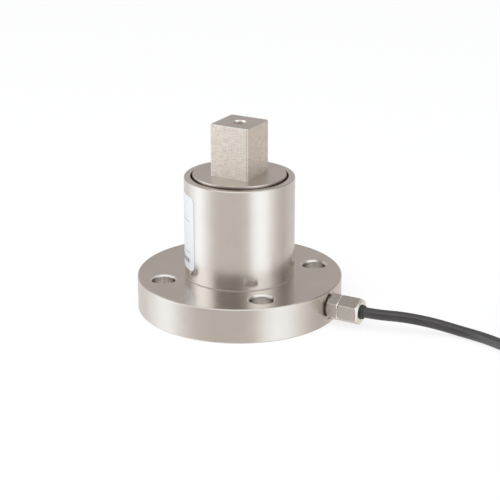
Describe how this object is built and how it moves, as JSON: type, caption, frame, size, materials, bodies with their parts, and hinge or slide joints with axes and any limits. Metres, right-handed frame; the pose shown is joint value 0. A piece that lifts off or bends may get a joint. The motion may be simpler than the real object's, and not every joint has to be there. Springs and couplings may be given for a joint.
{
  "type": "static torque sensor",
  "caption": "Static torque sensor: round bolted flange, sleeved torsion shaft with a square drive on top, and a coiled cable from a hexagonal gland in the flange's side.",
  "frame": {"origin": "centre of the flange's underside, on the torsion axis", "axes": "+Z along the torsion axis, up through the square drive; +X along the gland, out of the flange's side"},
  "size_m": [0.262, 0.1285, 0.0913],
  "materials": {
    "body_steel": "satin nickel plating over fine turning and milling marks",
    "sleeve_steel": "satin nickel plating over fine turning marks",
    "seal_rubber": "matt",
    "label_film": "satin white film with thin dark ruled lines",
    "gland_plating": "satin nickel plating",
    "bush_rubber": "matt",
    "board_laminate": "satin lacquer",
    "tinned_brass": "tinned, bright",
    "resistor_body": "matt",
    "gauge_film": "clear amber film over metal foil",
    "ribbon_film": "amber film",
    "cable_jacket": "matt dark grey jacket",
    "core_insulation": "satin",
    "tie_plastic": "satin",
    "shrink_sleeve": "satin",
    "lead_red": "satin",
    "lead_black": "satin",
    "lead_green": "satin",
    "lead_white": "satin",
    "tinned_copper": "tinned, bright"
  },
  "bodies": {
    "root": {"torsion_body": "body_steel", "protective_sleeve": "sleeve_steel", "collar_seal": "seal_rubber", "label": "label_film", "gland_seal_ring": "seal_rubber", "gland_body": "gland_plating", "gland_nut": "gland_plating", "gland_bush": "bush_rubber", "terminal_board": "board_laminate", "core_pins": "tinned_brass", "zero_trim_resistor": "resistor_body", "span_trim_resistor": "resistor_body", "cable_tail": "cable_jacket", "cable_cores": "core_insulation", "cable_run": "cable_jacket", "cable_coil": "cable_jacket", "coil_tie_1": "tie_plastic", "coil_tie_2": "tie_plastic", "cable_end_sleeve": "shrink_sleeve", "lead_red": "lead_red", "lead_black": "lead_black", "lead_green": "lead_green", "lead_white": "lead_white", "lead_tips": "tinned_copper", "strain_gauge_1": "gauge_film", "gauge_ribbon_1": "ribbon_film", "strain_gauge_2": "gauge_film", "gauge_ribbon_2": "ribbon_film", "strain_gauge_3": "gauge_film", "gauge_ribbon_3": "ribbon_film", "strain_gauge_4": "gauge_film", "gauge_ribbon_4": "ribbon_film"}
  },
  "joints": []
}
